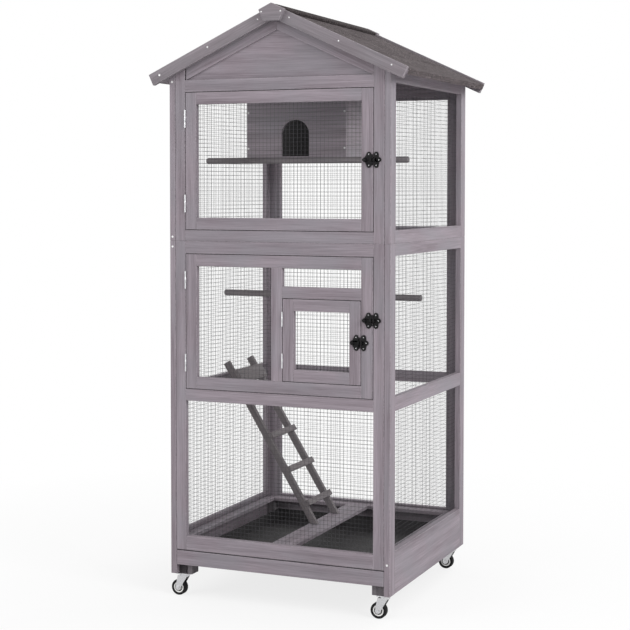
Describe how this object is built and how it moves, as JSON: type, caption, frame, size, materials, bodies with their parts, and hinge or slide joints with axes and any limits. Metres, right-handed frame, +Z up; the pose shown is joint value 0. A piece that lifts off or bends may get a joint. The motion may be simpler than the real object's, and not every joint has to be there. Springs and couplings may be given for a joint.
{
  "type": "wooden bird cage",
  "caption": "Tall wooden bird cage on casters: two netted storeys under a gable roof, framed doors with bolts, pull-out tray, perches, ladder and corner nest box.",
  "frame": {"origin": "on the floor, at the middle of the bounding box's base", "axes": "+X to the right seen from the front, -Y towards the front with the doors, +Z up"},
  "size_m": [0.856, 0.828, 1.8538],
  "materials": {
    "stained_wood": "matte stain with grain",
    "dark_wood": "matte stain",
    "roof_felt": "board covered with grey mineral felt",
    "net_wire": "galvanised",
    "zinc": "zinc plated",
    "latch_black": "satin black",
    "chrome": "bright plated",
    "wheel_rubber": "matte",
    "tray_black": "matte"
  },
  "bodies": {
    "cage": {"lower_side_left": "stained_wood", "lower_side_right": "stained_wood", "upper_side_left": "stained_wood", "upper_side_right": "stained_wood", "corner_strip_left": "stained_wood", "corner_strip_right": "stained_wood", "lower_frame_front": "stained_wood", "lower_frame_back": "stained_wood", "upper_frame_front": "stained_wood", "upper_frame_back": "stained_wood", "gable_front": "stained_wood", "gable_back": "stained_wood", "roof_board_left": "roof_felt", "roof_board_right": "roof_felt", "ridge_cap": "roof_felt", "barge_front": "stained_wood", "barge_back": "stained_wood", "base_frame": "stained_wood", "perch_upper": "dark_wood", "perch_lower": "dark_wood", "ladder": "dark_wood", "nest_box": "stained_wood", "net_lower_left": "net_wire", "net_lower_right": "net_wire", "net_lower_back": "net_wire", "net_lower_front": "net_wire", "net_upper_left": "net_wire", "net_upper_right": "net_wire", "net_upper_back": "net_wire", "upper_hinge_low": "zinc", "upper_hinge_high": "zinc", "lower_hinge_low": "zinc", "lower_hinge_high": "zinc", "upper_latch_keeper": "latch_black", "lower_latch_keeper": "latch_black"},
    "upper_door_leaf": {"upper_door": "stained_wood", "upper_door_net": "net_wire", "upper_latch_plate": "latch_black"},
    "upper_door_bolt": {"upper_bolt": "latch_black"},
    "lower_door_leaf": {"lower_door": "stained_wood", "lower_door_net": "net_wire", "lower_latch_plate": "latch_black", "small_hinge_low": "zinc", "small_hinge_high": "zinc", "small_latch_keeper": "latch_black"},
    "lower_door_bolt": {"lower_bolt": "latch_black"},
    "small_door_leaf": {"small_door": "stained_wood", "small_door_net": "net_wire", "small_latch_plate": "latch_black"},
    "small_door_bolt": {"small_bolt": "latch_black"},
    "drawer": {"drawer_front": "stained_wood", "tray": "tray_black"},
    "swivel_front_left": {"fork_front_left": "chrome"},
    "swivel_front_right": {"fork_front_right": "chrome"},
    "swivel_back_left": {"fork_back_left": "chrome"},
    "swivel_back_right": {"fork_back_right": "chrome"},
    "roller_front_left": {"wheel_front_left": "wheel_rubber"},
    "roller_front_right": {"wheel_front_right": "wheel_rubber"},
    "roller_back_left": {"wheel_back_left": "wheel_rubber"},
    "roller_back_right": {"wheel_back_right": "wheel_rubber"}
  },
  "joints": [
    {"name": "upper_door_hinge", "type": "hinge", "parent": "cage", "child": "upper_door_leaf", "pos_m": [-0.313, -0.3728, 1.381], "axis": [0, 0, -1], "range_deg": [0, 170]},
    {"name": "upper_bolt_slide", "type": "slide", "parent": "upper_door_leaf", "child": "upper_door_bolt", "axis": [1, 0, 0], "range_m": [0, 0.009]},
    {"name": "lower_door_hinge", "type": "hinge", "parent": "cage", "child": "lower_door_leaf", "pos_m": [-0.313, -0.3728, 0.88], "axis": [0, 0, -1], "range_deg": [0, 170]},
    {"name": "lower_bolt_slide", "type": "slide", "parent": "lower_door_leaf", "child": "lower_door_bolt", "axis": [1, 0, 0], "range_m": [0, 0.009]},
    {"name": "small_door_hinge", "type": "hinge", "parent": "lower_door_leaf", "child": "small_door_leaf", "pos_m": [0.018, -0.3728, 0.834], "axis": [0, 0, -1], "range_deg": [0, 170]},
    {"name": "small_bolt_slide", "type": "slide", "parent": "small_door_leaf", "child": "small_door_bolt", "axis": [1, 0, 0], "range_m": [0, 0.009]},
    {"name": "drawer_slide", "type": "slide", "parent": "cage", "child": "drawer", "axis": [0, -1, 0], "range_m": [0, 0.6]},
    {"name": "swivel_front_left_spin", "type": "hinge", "parent": "cage", "child": "swivel_front_left", "pos_m": [-0.339, -0.33, 0.072], "axis": [0, 0, 1], "continuous": true},
    {"name": "swivel_front_right_spin", "type": "hinge", "parent": "cage", "child": "swivel_front_right", "pos_m": [0.339, -0.33, 0.072], "axis": [0, 0, 1], "continuous": true},
    {"name": "swivel_back_left_spin", "type": "hinge", "parent": "cage", "child": "swivel_back_left", "pos_m": [-0.339, 0.33, 0.072], "axis": [0, 0, 1], "continuous": true},
    {"name": "swivel_back_right_spin", "type": "hinge", "parent": "cage", "child": "swivel_back_right", "pos_m": [0.339, 0.33, 0.072], "axis": [0, 0, 1], "continuous": true},
    {"name": "roller_front_left_spin", "type": "hinge", "parent": "swivel_front_left", "child": "roller_front_left", "pos_m": [-0.358, -0.33, 0.02479], "axis": [0, 1, 0], "continuous": true},
    {"name": "roller_front_right_spin", "type": "hinge", "parent": "swivel_front_right", "child": "roller_front_right", "pos_m": [0.32, -0.33, 0.02479], "axis": [0, 1, 0], "continuous": true},
    {"name": "roller_back_left_spin", "type": "hinge", "parent": "swivel_back_left", "child": "roller_back_left", "pos_m": [-0.358, 0.33, 0.02479], "axis": [0, 1, 0], "continuous": true},
    {"name": "roller_back_right_spin", "type": "hinge", "parent": "swivel_back_right", "child": "roller_back_right", "pos_m": [0.32, 0.33, 0.02479], "axis": [0, 1, 0], "continuous": true}
  ]
}
